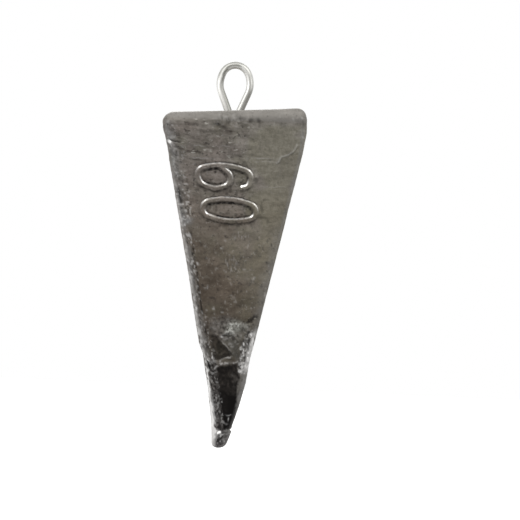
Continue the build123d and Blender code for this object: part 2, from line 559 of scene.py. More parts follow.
hook = math.degrees(HOOK_RUN / side_radius)
bowl_start = side_angle - math.degrees(BOWL_LEAD / side_radius)
bowl = [arc(side_radius, bowl_start), arc(BOWL_RADIUS, BOWL_TURN)]
six_moves = [arc(side_radius, hook), end, side, end] + bowl
six, heading = walk(on_side(side_angle - hook), side_angle - hook + 90, six_moves, STROKE_STEP)
closing_run = (-HALF_WIDTH - six[-1][0]) / math.cos(math.radians(heading))
closing, _ = walk(six[-1], heading, [(closing_run, 0)], CLOSING_STEP)
nought, _ = walk(on_side(-side_angle), 90 - side_angle, [side, end, side, end], STROKE_STEP)

six_stroke, closing_stroke = on_face(six, SIX_PLACE), on_face(closing, SIX_PLACE)
nought_stroke = on_face(nought, NOUGHT_PLACE)
low_stroke = step_up(six_stroke[:, 1], 8.4, 9.0)
hanging = STROKE_HANGS * bell(six_stroke[:, 0], -3.0, 1.3, power=4)
hanging += HOOK_HANGS * step_up(six_stroke[:, 0], 0.2, 0.8)
six_stroke[:, 1] += low_stroke * hanging
strokes = (six_stroke, closing_stroke, nought_stroke)
for stroke in strokes:
    print("stroke across", stroke[:, 0].min().round(2), stroke[:, 0].max().round(2))

# %% Bead heights
BEAD_FLAT, BEAD_HALF, BEAD_RISE = 0.17, 0.34, 0.2
NUMERALS_FROM, NUMERALS_TO = 6.0, 15.2
WORN_X, WORN_DEPTH, WORN_SHARE = -4.6, 8.65, 0.82

near = (depth > NUMERALS_FROM) & (depth < NUMERALS_TO) & (front > 0.5)
to_stroke = np.full(face.shape, 9.0)
for stroke in strokes:
    way = way_from(face[near], stroke)
    closer = np.linalg.norm(way, axis=-1) < np.linalg.norm(to_stroke[near], axis=-1)
    to_stroke[near] = np.where(closer[:, None], way, to_stroke[near])
reach = np.linalg.norm(to_stroke, axis=-1)
facing = np.degrees(np.arctan2(-to_stroke[..., 1], to_stroke[..., 0]))
underside = -np.sin(np.radians(facing))
inside = 0.0 * depth
for loop in (np.concatenate((six_stroke, closing_stroke)), on_face(nought, SIX_PLACE), nought_stroke):
    inside[near] = np.maximum(inside[near], patch(face[near], loop, 0.05))
softened = (1 - inside) * step_up(underside, -0.2, 0.5)
bead_half = BEAD_HALF + 0.1 * softened - 0.04 * np.cos(np.radians(facing)) ** 4
worn = bell(face_x, WORN_X, 0.5) * bell(depth, WORN_DEPTH, 0.55)
bead = BEAD_RISE * step_up(bead_half - reach, 0, bead_half - BEAD_FLAT) * (1 - WORN_SHARE * worn)
print("bead points", int((bead > 0).sum()))

# %% Grooves beside the beads
wander = reach + 0.05 * lumps(0.5, 18) + 0.07 * lumps(0.22, 19)
downward_side = step_up(underside, 0.3, 0.9)
groove_width = 0.075 + 0.06 * downward_side + 0.06 * inside * (1 - downward_side)
groove = bell(wander, BEAD_HALF + 0.02 + 0.07 * inside, groove_width)
groove *= at_least(0.15, np.abs(underside) ** 1.5) * (1 - 0.5 * softened) * (1 - 0.8 * worn)
print("groove points", int((groove > 0.5).sum()))

# %% [markdown]
# Every mark has a height, and it also goes into maps that the finish reads. The bare map is metal
# freshly laid open, and at the tip's edges it also carries painted reflection. The map of bright
# lines is mostly painted highlight: light colour where the metal would mirror the lamps. dark and
# black are oxide and dirt in hollows. They are also painted shade in the grooves beside the
# numerals, painted shadows, and the dark reflection painted on the cut at the tip. edge and rubbed
# are worn places, frost is crushed metal, and dull is the matt top edge. calm has fewer specks and
# rippled has more. olive and plum are drifts of hue. Paint layers in an image could hold all this,
# but point values need no picture and follow the net exactly.

# %% Maps for the finish
MAPS = ("bare", "dark", "frost", "edge", "rubbed", "dull", "rippled", "black", "olive", "plum", "calm",
        "polish")
LEAST_HALF = 1.05

height = 0.0 * depth
maps = {name: 0.0 * depth for name in MAPS}


def mark(shape, rise=0.0, **amounts):
    """Raise the skin under a shape, and add the shape to maps by the amounts given."""
    height[...] += rise * shape
    for name, amount in amounts.items():
        maps[name][...] = np.maximum(maps[name], amount * shape)


def dab(places, rise, cover=1.0, **amounts):
    """Mark a spot at each place: across, depth, width, height and, where it differs, its strength."""
    for across, down, wide, high, *strength in places:
        share = strength[0] if strength else 1.0
        shares = {name: min(1.0, amount * share) for name, amount in amounts.items()}
        mark(spot((across, down), wide, high) * cover, rise, **shares)


def fade(shape, name, share):
    """Take a share out of a map under a shape."""
    maps[name][...] *= 1 - share * shape


def covered(name):
    """How many points of the skin a map covers by half or more."""
    return int((maps[name] > 0.5).sum())


half_here = np.maximum(HALF_TOP - SLOPE * depth, LEAST_HALF)
inward = face_x + half_here
fine = lumps(0.35, 11)
mid = lumps(0.9, 12)
mottle = np.clip(0.5 + 0.9 * mid + 0.5 * fine, 0, 1)
crumbs = lumps(0.3, 22) + 0.5 * lumps(0.16, 24)
grit = lumps(0.34, 26) + 0.7 * lumps(0.18, 27)
print("maps", list(maps))

# %% [markdown]
# The grooves beside the numerals are painted dark as shade, thickest under the strokes and inside
# their loops, with a few deeper painted shadows. The crests are rubbed. Where a flank leans towards
# one of the lamps, a thin painted highlight runs along it, broken here and there, and widest on the
# hook of the six. Gloss on the flanks could give such lines, but a map of their own also places the
# breaks in them.

# %% Painted shade round the numerals
# Each shadow is a place across, a depth, a width and a height
SHADOWS = (
    (-2.9, 7.52, 0.3, 0.13), (-2.26, 7.75, 0.18, 0.12), (-2.98, 9.2, 0.25, 0.1), (-2.23, 9.2, 0.25, 0.1),
    (-0.05, 7.38, 0.35, 0.14), (0.55, 7.4, 0.35, 0.16), (1.02, 7.66, 0.16, 0.13), (1.67, 8.26, 0.13, 0.3),
    (-1.8, 11.52, 0.35, 0.13), (-1.1, 11.52, 0.35, 0.15), (1.0, 11.6, 0.25, 0.12), (1.9, 11.8, 0.2, 0.17),
    (2.25, 12.1, 0.16, 0.2), (2.37, 12.55, 0.14, 0.25), (1.72, 13.1, 0.3, 0.12), (-1.1, 13.38, 0.3, 0.08),
    (-2.1, 13.3, 0.2, 0.1), (-3.45, 13.25, 0.18, 0.2), (-3.1, 13.75, 0.22, 0.14),
)

crest = step_up(bead, 0.1 * BEAD_RISE, 0.4 * BEAD_RISE)
height += bead - 0.06 * groove + 0.025 * crest * lumps(0.22, 57)
mark(crest, rubbed=0.4)
lumpy = step_up(lumps(0.7, 20) + 0.9 * lumps(0.26, 53), -0.4, 0.3)
# The grooves are painted dark as shade, most where they lie above or below a stroke and inside its loops.
mark(groove * at_least(0.25, np.maximum(lumpy, 0.5 * inside)), dark=0.98)
mark(groove * lumpy * np.maximum(downward_side, 0.8 * inside), black=0.8)
dab(SHADOWS, -0.04, (1 - crest) * at_least(0.55, step_up(crumbs, -0.4, 0.3)), dark=1.0, black=0.6)
# Painted shade inside the loops of the numerals, with a few light flecks.
counters = step_down(reach, 0.9, 1.3) * step_up(reach, BEAD_HALF, BEAD_HALF + 0.15)
mark(counters * step_up(lumps(0.4, 54) + 0.5 * fine, 0.2, 0.8), -0.03, dark=0.4)
mark(counters * step_up(lumps(0.3, 55), 0.4, 0.9), 0.02, bare=0.06)
print("dirt points", covered("dark"))

# %% Painted highlights on the strokes
# Facings are in degrees: 0 is to the right, 90 is up
TO_RIGHT_LAMP, TO_LEFT_LAMP, HOOK_FACING = 42, 135, 122
LINE_INSIDE = 0.07

upward = np.maximum(bell(facing, TO_RIGHT_LAMP, 28), bell(facing, TO_LEFT_LAMP, 27))
upward *= at_least(0.78, inside) * (1 - 0.7 * worn * (1 - inside))
upward = np.maximum(upward, 0.27 * bell(facing, 90, 50))
at_hook = step_up(face_x, 0.5, 0.8) * between(depth, 8.5, 8.8, 9.9, 10.1) * inside
upward = np.maximum(upward, at_hook * bell(facing, HOOK_FACING, 58))
line_place = bell(reach, BEAD_HALF - LINE_INSIDE, 0.055 + 0.025 * at_hook)
gleam = at_least(0.5, step_up(lumps(0.35, 52) + 0.6 * lumps(0.17, 56), -0.7, 0.4))
# Painted highlight: light colour on the flanks that face a lamp.
mark(upward * line_place * gleam, polish=1.0)
print("bright line points", covered("polish"))

# %% [markdown]
# Near the tip the lead was cut and hammered: a frosted patch, bright ridges, a sunk triangle, and
# under them a smooth cut that runs down to the nub, painted near black as its dark reflection. The
# right edge is crumpled, with a bright band, and the left one has a bright rim beside a crushed
# strip. Both are painted partly as the white surround's reflection at the edge and partly as bared
# metal. Sculpting would give these shapes once. Outlines and lines of a few points give them again
# on any net, so the tip is drawn with them.

# %% Tip: sunk triangle and grey facet
TRIANGLE = ((-2.2, 28.0), (-1.45, 27.95), (-0.9, 28.7), (0.8, 30.4), (-0.05, 30.9), (-0.7, 31.25),
            (-1.55, 31.2), (-1.75, 30.2), (-2.1, 28.9))
GREY_FACET = ((0.5, 28.8), (1.55, 28.7), (1.6, 30.7), (1.25, 31.2), (0.95, 30.6))
BLOTS = ((-1.85, 28.2, 0.3, 0.25), (-1.3, 28.3, 0.25, 0.2), (-1.05, 28.9, 0.3, 0.4), (-0.85, 30.2, 0.3, 0.35),
         (0.0, 30.0, 0.2, 0.3), (-0.45, 30.75, 0.4, 0.22), (-0.75, 29.5, 0.15, 0.4), (-1.35, 30.6, 0.25, 0.2))

sunk = area(TRIANGLE)
mark(sunk * at_least(0.72, step_up(grit, -0.5, 0.5)), -0.12, dark=0.82)
dab(BLOTS, -0.04, dark=0.97)
fade(spot((-1.5, 29.6), 0.18, 0.5), "dark", 0.55)
fade(sunk * step_up(crumbs, 0.45, 0.8), "dark", 0.3)
mark(area(GREY_FACET, 0.4), -0.06, dark=0.32, edge=0.25)
print("triangle points", int((sunk > 0.5).sum()))

# %% Tip: dark cut
CUT_UPPER = ((-1.2, 32.3), (-0.65, 31.95), (0.35, 31.75), (1.35, 31.6), (1.6, 32.8), (1.85, 33.4),
             (1.5, 34.4), (1.55, 35.9), (-0.6, 35.9))
CUT_LOWER = ((-0.8, 34.95), (0.0, 35.05), (0.4, 35.5), (1.0, 35.55), (1.5, 35.6), (1.48, 37.2), (1.42, 38.4),
             (1.25, 39.3), (0.7, 39.9), (0.05, 39.9), (-0.3, 37.4))
CUT_SHEEN = ((-0.6, 35.1), (0.1, 35.4), (0.55, 36.5), (0.3, 38.0), (-0.15, 37.6))

upper_cut, lower_cut = area(CUT_UPPER), area(CUT_LOWER)
mark(np.maximum(upper_cut, lower_cut), -0.15)
mark(upper_cut, dark=0.94)
mark(upper_cut * step_up(grit, -0.1, 0.6), black=0.6)
fade(upper_cut * step_up(-grit, 0.2, 0.8) * step_down(depth, 33.8, 35.0), "dark", 0.24)
fade(spot((1.25, 33.4), 0.5, 0.45), "dark", 0.26)
# The lower cut is painted near black as the dark reflection of its smooth facet, and its sheen is a lighter
# painted reflection on part of it.
mark(lower_cut, dark=1.0, black=0.97)
fade(area(CUT_SHEEN, 0.3), "black", 0.4)
height += 0.04 * upper_cut * lumps(0.5, 23)
print("cut points", covered("black"))

# %% Tip: hammered ground, ridges, fold and notch
HAMMERED = ((-2.2, 26.1), (-0.2, 25.7), (0.6, 26.0), (2.9, 26.5), (2.6, 27.4), (1.7, 28.8), (1.0, 30.5),
            (-0.5, 28.7), (-1.2, 27.9), (-2.1, 27.9))
# Each ridge is a line, its width, its rise, and how bare it is
RIDGES = (
    (((-0.85, 28.6), (-0.3, 29.1), (0.15, 29.65), (0.95, 30.3)), 0.09, 0.1, 0.2),
    (((-0.75, 31.3), (-0.35, 31.1), (0.2, 30.85), (0.7, 30.65)), 0.11, 0.1, 0.25),
    (((-1.6, 31.3), (-0.65, 31.6), (0.0, 31.5), (0.9, 31.4), (1.4, 31.2)), 0.12, 0.15, 0.46),
    (((-1.4, 32.25), (-1.05, 31.85), (-0.6, 31.7)), 0.11, 0.12, 0.32),
    (((-1.82, 30.3), (-1.65, 30.95)), 0.09, 0.1, 0.75),
    (((-2.29, 31.05), (-1.95, 31.6)), 0.1, 0.08, 0.7),
    (((-2.63, 30.6), (-2.43, 30.86)), 0.1, 0.05, 0.4),
    (((-0.3, 28.6), (0.3, 28.25), (1.1, 27.9)), 0.12, 0.05, 0.14),
    (((-0.5, 27.9), (-0.1, 27.6), (0.4, 27.4)), 0.1, 0.05, 0.26),
    (((-3.17, 27.0), (-3.06, 29.6)), 0.12, 0.04, 0.16),
)
FOLD = ((-0.55, 28.1), (-0.2, 28.0), (0.35, 27.75))
NOTCH = ((1.95, 26.3), (2.4, 26.2), (2.9, 26.05), (3.15, 25.6), (3.45, 25.6))
LEFT_SEAM = ((-2.56, 26.4), (-2.41, 30.0))

worked = area(HAMMERED, 0.9)
mark(worked, edge=0.3)
mark(worked * step_up(grit, 0.15, 0.9), 0.03, bare=0.1)
mark(worked * step_up(-grit, 0.0, 0.8), -0.03, dark=0.62)
broken = at_least(0.15, step_up(lumps(0.5, 17) + 0.8 * grit, -0.4, 0.5))
for line, width, rise, light in RIDGES:
    mark(streak(line, width) * broken, rise, bare=light)
mark(spot((-0.65, 28.2), 0.2, 0.12), 0.05, bare=0.5)
mark(streak(FOLD, 0.13), -0.08, dark=0.9)
mark(streak(NOTCH, 0.24) * step_up(grit + 0.5 * mid, -0.9, -0.1), -0.14, dark=0.96)
mark(streak(LEFT_SEAM, 0.1) * at_least(0.4, mottle), -0.04, dark=0.65)
print("ridges", len(RIDGES))

# %% Tip: frosted patch
FROST = ((-0.3, 27.8), (-0.05, 27.0), (0.2, 26.35), (0.8, 26.1), (1.5, 26.25), (1.85, 26.75), (1.6, 27.3),
         (1.1, 27.6), (0.25, 27.8))

frosted = np.maximum(area(FROST, 0.5), 0.55 * spot((2.15, 26.75), 0.6, 0.45))
speckle = lumps(0.26, 21) + 0.7 * lumps(0.15, 25)
fade(frosted, "dark", 0.7)
mark(frosted * at_least(0.5, step_up(speckle, -0.2, 0.5)), 0.05, frost=1.0)
mark(frosted * step_up(speckle, 0.35, 0.8), 0.03, bare=0.22)
mark(frosted * step_up(-speckle, 0.2, 0.7), -0.06, dark=0.5)
print("frosted points", covered("frost"))

# %% Tip: crumpled right edge
CRUMPLE = ((2.4, 27.3), (3.6, 27.3), (3.3, 29.5), (2.7, 32.6), (1.95, 32.8), (1.5, 31.8), (1.65, 29.4))
LOW_CRUMPLE = ((1.45, 31.5), (2.5, 31.35), (2.45, 32.7), (1.95, 32.85), (1.6, 32.2))
SPECKS = (
    (3.0, 27.75, 0.16, 0.16, 1.0), (2.55, 28.35, 0.2, 0.07, 0.5), (2.05, 29.05, 0.09, 0.2, 0.9),
    (1.8, 29.65, 0.16, 0.07, 0.7), (2.05, 29.8, 0.09, 0.14, 0.7), (2.5, 29.0, 0.08, 0.16, 0.5),
    (1.85, 30.65, 0.16, 0.08, 0.6), (1.75, 31.0, 0.08, 0.14, 0.5), (1.85, 32.55, 0.2, 0.14, 0.8),
    (2.0, 31.9, 0.12, 0.26, 0.7), (2.15, 31.4, 0.3, 0.1, 0.6), (1.65, 32.4, 0.08, 0.2, 0.6),
    (0.62, 38.1, 0.3, 0.08, 0.3), (0.62, 38.6, 0.09, 0.2, 0.4), (0.4, 39.2, 0.25, 0.1, 0.14),
)

crumple = area(CRUMPLE, 0.3)
height += crumple * 0.1 * grit
mark(crumple, edge=0.5)
mark(crumple * step_up(-grit, 0.0, 0.5), dark=0.78)
mark(crumple * step_up(grit, 0.25, 0.8), bare=0.5)
mark(area(LOW_CRUMPLE, 0.3) * step_up(grit, -0.7, 0.2), bare=0.42)
dab(SPECKS, 0.06, bare=1.0)
print("bare points", covered("bare"))

# %% Tip: places along the edges
ROUNDER_LEFT = 0.3

half_swollen = half_here + level_at(depth, SWELL)
bent = level_at(depth, BEND)
from_left = face_x - bent + half_swollen + level_at(depth, KNOCKED)
from_right = half_swollen - face_x + bent
from_front = skin[..., 1] + half_swollen + 0.3 * mid + 0.2 * fine + 0.25 * grit
at_front = step_down(from_front - np.where(face_x < bent, ROUNDER_LEFT, 0.0), 0.55, 0.95)
near_tip = step_up(depth, 29.5, 32)
above_nub = step_down(depth, 39.5, 40.0)
print("front edge points", int((at_front > 0.5).sum()))

# %% Tip: right band and left rim
# Each pair is a depth and a width, or a depth and a share
BAND_WIDTH = ((30, 0.7), (33, 0.8), (36, 0.65), (39, 0.4))
BAND_LIGHT = ((26.8, 0), (28.4, 1), (32.2, 1), (32.9, 0.16), (35.6, 0.16), (37.2, 0.07), (39.5, 0.05))
RIM_WIDTH = ((14, 0.1), (18, 0.25), (29, 0.27), (30.5, 0.2), (32.5, 0.4), (35.5, 0.34), (37.3, 0.34),
             (38.5, 0.44))

# The right band and the left rim are light colour painted partly as the white surround's reflection at the
# grazing edges, and partly as bared metal.
band_width = level_at(depth, BAND_WIDTH)
right_band_reflection = step_down(from_right + 0.12 * fine + 0.06 * mid, 0.4 * band_width, band_width) * at_front
right_band_reflection *= level_at(depth, BAND_LIGHT)
mark(right_band_reflection * at_least(0.6, step_up(grit + mid, -0.5, 0.4)), bare=0.78)
rim_width = level_at(depth, RIM_WIDTH)
rim_place = from_left + 0.16 * mid + 0.14 * fine
left_rim_reflection = step_down(rim_place, 0.7 * rim_width, 1.25 * rim_width) * at_front
mark(left_rim_reflection * step_up(depth, 14, 30) * at_least(0.4, np.maximum(mottle, 0.8 * near_tip)), bare=0.93)
mark(left_rim_reflection * near_tip * at_least(0.3, mottle) * above_nub, polish=0.3)
print("rim points", int((left_rim_reflection > 0.5).sum()))

# %% Tip: crushed strip and wedge
WEDGE = ((-2.42, 31.2), (-2.15, 31.35), (-1.9, 31.9), (-2.03, 32.75), (-2.3, 31.9))

inner = step_up(rim_place, 0.5, 0.62) * step_down(from_left, 1.45, 1.6) * front * near_tip
crushed = lumps((0.17, 0.17, 0.24), 28) + 0.6 * lumps(0.12, 29)
mark(inner, edge=0.35)
mark(inner * step_up(-crushed, -0.3, 0.3), -0.03, dark=0.93)
mark(inner * step_up(crushed, 0.4, 1.0) * (1 - 0.5 * step_up(from_left, 0.8, 1.0)), 0.03, bare=0.18)
mark(inner * step_up(from_left + 0.1 * fine, 0.8, 1.0), dark=0.6)
low_right = step_down(from_right, 0.5, 0.8) * at_front * step_up(depth, 32.6, 33.4)
mark(low_right * at_least(0.5, mottle) * above_nub, dark=0.34)
wedge = area(WEDGE, 0.15)
fade(wedge, "bare", 1.0)
mark(wedge, -0.12, dark=1.0, black=0.5)
mark(spot((-2.58, 31.0), 0.1, 0.35), -0.05, dark=0.95)
print("crushed points", int((inner > 0.5).sum()))

# %% [markdown]
# The nub is where the mould's point was left on: a small rounded end under a pinched neck, lighter
# on its left and darker on its right, with one painted glint. It is a part of the same net, so only
# its marks are made here.

# %% Nub
NECK_MIDDLE = 39.95
GLINT = ((-0.7, 40.33), (-0.4, 40.25))
NUB_SPOTS = ((0.7, 40.4, 0.12, 0.15, 0.3), (0.15, 41.4, 0.15, 0.12, 0.25), (-0.35, 40.75, 0.2, 0.1, 0.2))

nub = step_up(depth, 39.7, 40.1)
across_nub = face_x - bent
# The right side of the nub is painted darker.
darker_right_side = nub * front * step_up(across_nub + 0.15 * fine, -0.75, -0.15)
mark(darker_right_side * at_least(0.15, step_up(-crumbs, -0.2, 0.5)), -0.02, dark=0.6)
mark(nub * front * step_up(across_nub, -0.5, 0.0) * step_up(crumbs, 0.2, 0.9), 0.02, bare=0.4)
mark(nub * front, edge=0.55)
light_side = nub * step_down(across_nub + 0.15 * fine, -0.95, -0.2) * step_down(skin[..., 1], -0.2, 0.7)
mark(light_side * at_least(0.75, mottle), bare=0.8)
neck = bell(depth, NECK_MIDDLE, 0.13)
mark(neck * step_up(across_nub, 0.3, 0.9), -0.22, dark=0.5)
mark(neck * between(across_nub, -0.75, -0.6, 0.3, 0.8) * front, -0.04, dark=0.85)
dab(NUB_SPOTS, 0.04, bare=1.0)
mark(streak(GLINT, 0.1), 0.03, polish=1.0, bare=1.0)
print("nub points", int((nub > 0.5).sum()))

# %% [markdown]
# Higher up there is a bright nick in the left edge, a crack below it and a curved scratch on the
# right, which has a light lip and a darker shadow beside it. Then come the small things that make
# the face look handled: stains and rubbed grains in known places, a rough spot under the top edge,
# and short scuffs below the numerals. The scuffs are drawn by lot with a fixed seed, because
# placing a hundred of them by hand would look no better.

# %% Nick, crack and scratch
NICK = ((-8.28, 4.1), (-8.02, 4.26))
NICK_LINE = ((-8.8, 3.65), (-8.15, 3.95), (-7.5, 4.1), (-6.8, 4.2))
CRACK = ((-7.0, 10.1), (-6.85, 10.6), (-6.7, 11.0), (-6.5, 11.5))
SCRATCH = np.array(((7.7, 3.9), (7.35, 4.6), (6.8, 5.1), (5.75, 5.5), (5.2, 6.3)))
SHADOW_SHIFT = (0.14, 0.12)

mark(streak(NICK_LINE, 0.1), -0.12, dark=0.8)
mark(streak(NICK, 0.14), 0.05, bare=0.95, polish=0.4)
mark(streak(CRACK, 0.29) * at_least(0.75, mottle), -0.12, dark=1.0, black=0.5)
mark(streak(SCRATCH, 0.08), 0.04, bare=0.22)
mark(streak(SCRATCH + SHADOW_SHIFT, 0.09), -0.04, dark=0.35)
print("deepest mark", height.min().round(2), "mm")

# %% Stains and rubbed grains
# Each mark is a place across, a depth, a width, a height and a strength
STAINS = (
    (-2.2, 1.75, 0.5, 0.35, 0.7), (0.9, 1.9, 0.45, 0.3, 0.6), (1.8, 1.2, 0.35, 0.35, 0.6),
    (2.7, 1.2, 0.35, 0.35, 0.6), (0.6, 1.05, 0.5, 0.2, 0.55), (-0.8, 1.2, 0.4, 0.15, 0.55),
    (-1.5, 2.1, 0.35, 0.2, 0.5), (-4.02, 24.3, 0.12, 0.28, 0.8), (5.7, 1.6, 0.5, 0.3, 0.45),
    (-4.9, 2.0, 0.7, 0.2, 0.35), (-0.5, 5.2, 0.55, 0.2, 0.4), (-1.1, 6.5, 0.8, 0.2, 0.4),
    (-5.0, 6.2, 0.5, 0.2, 0.45), (-4.9, 3.7, 0.6, 0.25, 0.25), (-8.1, 5.2, 0.25, 0.5, 0.55),
    (-5.1, 15.6, 0.35, 0.6, 0.7), (-5.0, 15.2, 0.25, 0.45, 0.7), (-4.7, 16.8, 0.4, 0.4, 0.5),
    (-4.7, 17.7, 0.3, 0.4, 0.5), (-4.0, 18.8, 0.3, 0.3, 0.5), (-4.5, 19.7, 0.25, 0.4, 0.6),
    (-4.1, 20.9, 0.2, 0.4, 0.55), (4.65, 18.8, 0.3, 0.17, 0.9), (3.15, 17.4, 0.22, 0.22, 0.65),
    (0.6, 22.6, 0.2, 0.2, 0.55), (1.5, 22.4, 0.2, 0.2, 0.6), (-1.4, 22.4, 0.2, 0.25, 0.55),
    (4.95, 16.5, 0.11, 0.22, 0.8), (4.25, 23.7, 0.12, 0.2, 0.6), (5.05, 3.1, 0.3, 0.08, 0.4),
    (5.25, 4.4, 0.16, 0.08, 0.35), (8.3, 1.25, 0.15, 0.35, 0.4), (-2.6, 22.0, 0.3, 0.2, 0.55),
    (-0.7, 24.8, 0.3, 0.25, 0.35), (-2.2, 27.6, 0.5, 0.6, 0.5),
)
GRAINS = (
    (-5.8, 14.4, 0.13, 0.2, 0.4), (-3.92, 24.9, 0.09, 0.3, 0.6), (-5.7, 17.5, 0.1, 0.25, 0.4),
    (-4.2, 20.1, 0.13, 0.1, 0.4), (-4.8, 21.8, 0.1, 0.3, 0.3), (0.5, 15.8, 0.14, 0.2, 0.1),
    (-0.7, 16.1, 0.18, 0.12, 0.1), (0.4, 18.4, 0.1, 0.35, 0.1), (0.1, 19.8, 0.08, 0.35, 0.16),
    (0.7, 19.6, 0.12, 0.12, 0.16), (1.8, 19.7, 0.25, 0.1, 0.14), (2.9, 20.8, 0.22, 0.12, 0.2),
    (2.8, 21.2, 0.2, 0.1, 0.16), (-1.8, 24.7, 0.16, 0.16, 0.25), (4.5, 22.8, 0.1, 0.25, 0.25),
    (-3.9, 6.1, 1.3, 0.08, 0.12), (-1.1, 4.5, 1.0, 0.08, 0.1), (3.3, 5.8, 1.4, 0.07, 0.1),
    (-4.6, 4.6, 0.7, 0.08, 0.12), (-7.85, 4.65, 0.1, 0.35, 0.22), (5.0, 9.3, 1.0, 0.06, 0.08),
    (3.6, 6.2, 1.0, 0.06, 0.08), (8.05, 0.6, 0.1, 0.08, 0.3), (7.0, 0.85, 0.08, 0.1, 0.2),
    (5.4, 0.68, 0.1, 0.08, 0.15), (8.35, 2.95, 0.12, 0.1, 0.25), (3.5, 15.7, 0.08, 0.08, 0.2),
    (0.95, 15.55, 0.07, 0.2, 0.15), (1.3, 15.7, 0.07, 0.22, 0.15), (1.75, 15.6, 0.12, 0.1, 0.14),
    (2.1, 15.5, 0.08, 0.15, 0.12),
)
STAIN_DARK, GRAIN_BARE = 1.25, 1.4

dab(STAINS, -0.03, at_least(0.5, step_up(grit, -0.5, 0.4)), dark=STAIN_DARK)
dab(GRAINS, 0.02, bare=GRAIN_BARE)
rough_top = spot((-0.6, 1.35), 2.3, 0.85)
mark(rough_top * step_up(crumbs, 0.2, 0.65), 0.03, bare=0.12)
mark(rough_top * step_up(-crumbs, 0.15, 0.65), -0.03, dark=0.5)
print("stains and grains", len(STAINS) + len(GRAINS))

# %% Scuffs
SCUFFS = 110
CLUSTER_DEPTH, CLUSTER_SPREAD, CLUSTER_X = 18.8, 1.2, 0.6
LIGHT_SHARE = 0.55

lot = np.random.default_rng(71)
middle = (depth > 13.5) & (depth < 27) & (front > 0.5)
for _ in range(SCUFFS):
    down = lot.choice((lot.uniform(14.8, 26), lot.normal(CLUSTER_DEPTH, CLUSTER_SPREAD)))
    start = np.array((lot.uniform(-0.72, 0.85) * (HALF_TOP - SLOPE * down), down))
    if abs(down - CLUSTER_DEPTH) < CLUSTER_SPREAD:
        start[0] = lot.normal(CLUSTER_X, CLUSTER_SPREAD)
    angle = math.radians(lot.choice((90, 65, 0, 0)) + lot.normal(0, 15))
    run = lot.uniform(0.06, 0.45) * np.array((math.cos(angle), math.sin(angle)))
    away = line_distance(face[middle], (start, start + run))
    scuff = 0.0 * depth
    scuff[middle] = bell(away, 0, lot.uniform(0.05, 0.1))
    if lot.uniform() < LIGHT_SHARE:
        mark(scuff, 0.015, bare=lot.uniform(0.06, 0.2))
    else:
        mark(scuff, -0.015, dark=lot.uniform(0.25, 0.6))
print("scuffs", SCUFFS)

# %% [markdown]
# The left edge was trimmed where the mould's halves met, so it is a wider, greyer strip with small
# chips and a dark crease along its inner side. The other long edges and the top edge are only
# rubbed. A bevel with an edge mask would wear all of them alike, so each edge has its own shape,
# and the strip's width follows a table by depth.

# %% Rubbed edges
# Each pair is a depth and a width, or a depth and a share
STRIP_WIDTH = ((5, 1.9), (13.9, 1.9), (14.5, 1.0), (16, 1.0), (17, 1.35), (20, 1.3), (23, 1.1), (24.5, 0.85),
               (26, 1.3), (29, 1.5))
STRIP_GREY = ((8.3, 0.95), (9.3, 0.55), (11.6, 0.55), (12.6, 1.0))

body = between(depth, 1.2, 2.0, 39, 39.6)
on_long_edge = step_up(1 - np.maximum(np.abs(normal[..., 0]), np.abs(normal[..., 1])), 0.03, 0.2)
on_top_edge = step_down(depth + 0.08 * mid, 1.1, 1.4) * (ring_depth > 0)[:, None]
strip_width = level_at(depth, STRIP_WIDTH)
strip = step_down(inward + 0.25 * mid + 0.1 * fine, 0.1, strip_width) * front * level_at(depth, STRIP_GREY)
patchy = at_least(0.35, step_up(lumps((0.7, 0.7, 1.2), 33), -0.4, 0.4))
right_margin = step_down(half_swollen - face_x + 0.5 * mid, 0.5, 1.6) * front * step_up(depth, 12, 18)
other_edges = 0.4 * np.maximum(on_long_edge, 0.75 * right_margin)
mark(np.maximum(other_edges, strip * at_least(0.4, patchy)) * body, edge=0.95)
mark(on_top_edge * at_least(0.8, mottle), dull=1.0, calm=0.8)
print("edge points", covered("edge"))

# %% Crease and chips
CREASE_PLACE = ((14, 1.05), (20, 1.0), (24.5, 0.92))
CHIP_SHARE = ((4, 0.4), (9, 0.5), (12, 0.75), (13.5, 0.75), (14.3, 0.4), (16, 1.0), (20.5, 1.0), (22, 0.5))

crease_run = np.maximum(step_up(mid, -0.2, 0.5), 0.85 * between(depth, 20, 21.5, 24, 25.5))
crease = bell(inward, level_at(depth, CREASE_PLACE), 0.15) * front * body * crease_run
mark(crease * at_least(0.3, step_up(depth, 14, 22)), -0.06, dark=0.9)
grain = lumps((0.26, 0.26, 0.36), 31) + 0.8 * lumps(0.17, 34)
outermost = step_down(inward + 0.12 * mid, 0.22, 0.5) * at_front * body * step_up(depth, 6, 12)
chipped = step_down(inward + 0.3 * mid, strip_width - 0.1, strip_width + 0.25) * front * body
chipped *= level_at(depth, CHIP_SHARE)
mark(chipped * step_up(grain + 0.5 * mid, 0.3, 0.8) * (1 - 0.6 * outermost), -0.05, dark=0.88)
mark(chipped * step_up(-grain, 0.25, 0.8), 0.02, bare=0.42)
pressed = spot((-5.5, 13.9), 0.55, 0.55)
fade(pressed, "dark", 0.7)
mark(pressed, edge=1.0)
mark(outermost * at_least(0.4, step_up(-grain, -0.3, 0.6)), bare=0.5)
chips = on_long_edge * body * step_up(lumps((1.0, 1.0, 1.5), 32), 0.5, 0.8)
mark(chips, -0.08, dark=0.2)
print("chip points", int((chips > 0.5).sum()))

# %% [markdown]
# The rest is the casting skin: long, slow waves, small dents, and the fine level wrinkles that the
# rising metal left, clearest on the upper part of the front. Its tone drifts too: olive to the
# right, reddish to the left, darker on the left of the lower face and a little lighter on its
# right. The pour face froze in the open, so it is sunk in the middle, ringed with ripples, and
# drawn up a little round both legs of the wire. A bump in the finish could fake the waves, but in
# the mesh they also change the outline.

